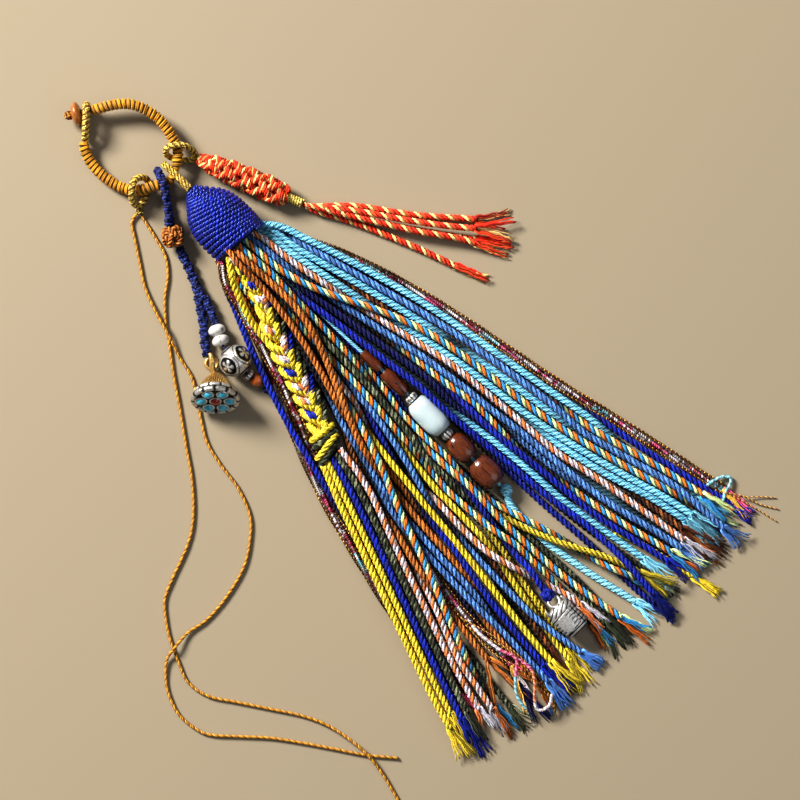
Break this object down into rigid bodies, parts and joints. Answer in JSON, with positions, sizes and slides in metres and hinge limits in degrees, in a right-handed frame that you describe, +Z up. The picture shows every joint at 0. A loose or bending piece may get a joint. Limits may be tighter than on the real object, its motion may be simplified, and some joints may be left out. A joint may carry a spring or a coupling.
{
  "type": "cord tassel with a hanging ring and beads",
  "caption": "Large tassel of coloured cords with a wound head, a braid, a string of beads, charms and a hanging ring with ties, lying fanned out flat.",
  "frame": {"origin": "the flat spot under the widest part of the wound head, where it rests on the surface", "axes": "+Z up from the surface, +Y along the tassel from the skirt's ends towards the hanging ring, +X across it"},
  "size_m": [0.2367, 0.3184, 0.0244],
  "materials": {
    "skirt_yarn": "matt cotton cord",
    "braid_yarn": "matt cotton cord",
    "ring_yarn": "wrapped yarn with a slight sheen",
    "gold_cord": "glossy metallic thread",
    "orange_yarn": "matt cotton cord",
    "navy_cord": "satin cord",
    "knot_yarn": "matt yarn",
    "light_cord": "matt cotton cord",
    "orange_wood": "lacquered",
    "dark_wood": "polished",
    "silver": "antiqued, polished on the high spots",
    "gilt": "antiqued",
    "jade": "polished stone",
    "white_bead": "glazed",
    "turquoise": "polished stone",
    "red_stone": "polished stone",
    "orange_bead": "glazed"
  },
  "bodies": {
    "root": {"bead_string": "light_cord", "button_bead": "orange_wood", "button_knot": "gold_cord", "charm_bail": "silver", "end_knot": "navy_cord", "fishtail_braid": "braid_yarn", "gold_wrap": "gold_cord", "hanger_loop": "gold_cord", "hanging_string": "navy_cord", "jade_bead": "jade", "knot_bead": "knot_yarn", "light_tail": "light_cord", "lotus_pod": "silver", "main_tassel": "skirt_yarn", "navy_braid_lower": "navy_cord", "navy_braid_upper": "navy_cord", "orange_bead": "orange_bead", "orange_braid": "orange_yarn", "orange_fringe": "orange_yarn", "orange_loop": "gold_cord", "pod_bail": "gilt", "pod_skirt": "gilt", "red_stone": "red_stone", "ring_cord": "ring_yarn", "ring_eyelet": "gold_cord", "silver_bead": "silver", "silver_cap": "silver", "silver_charm": "silver", "slim_bead": "dark_wood", "spacer_1": "silver", "spacer_2": "silver", "tie_cord_a": "gold_cord", "tie_cord_b": "gold_cord", "tie_knot": "gold_cord", "tie_loop": "gold_cord", "turquoise_1": "turquoise", "turquoise_2": "turquoise", "turquoise_3": "turquoise", "turquoise_4": "turquoise", "turquoise_5": "turquoise", "turquoise_6": "turquoise", "white_bead_1": "white_bead", "white_bead_2": "white_bead", "wood_bead_1": "dark_wood", "wood_bead_2": "dark_wood", "wood_bead_3": "dark_wood"}
  },
  "joints": []
}
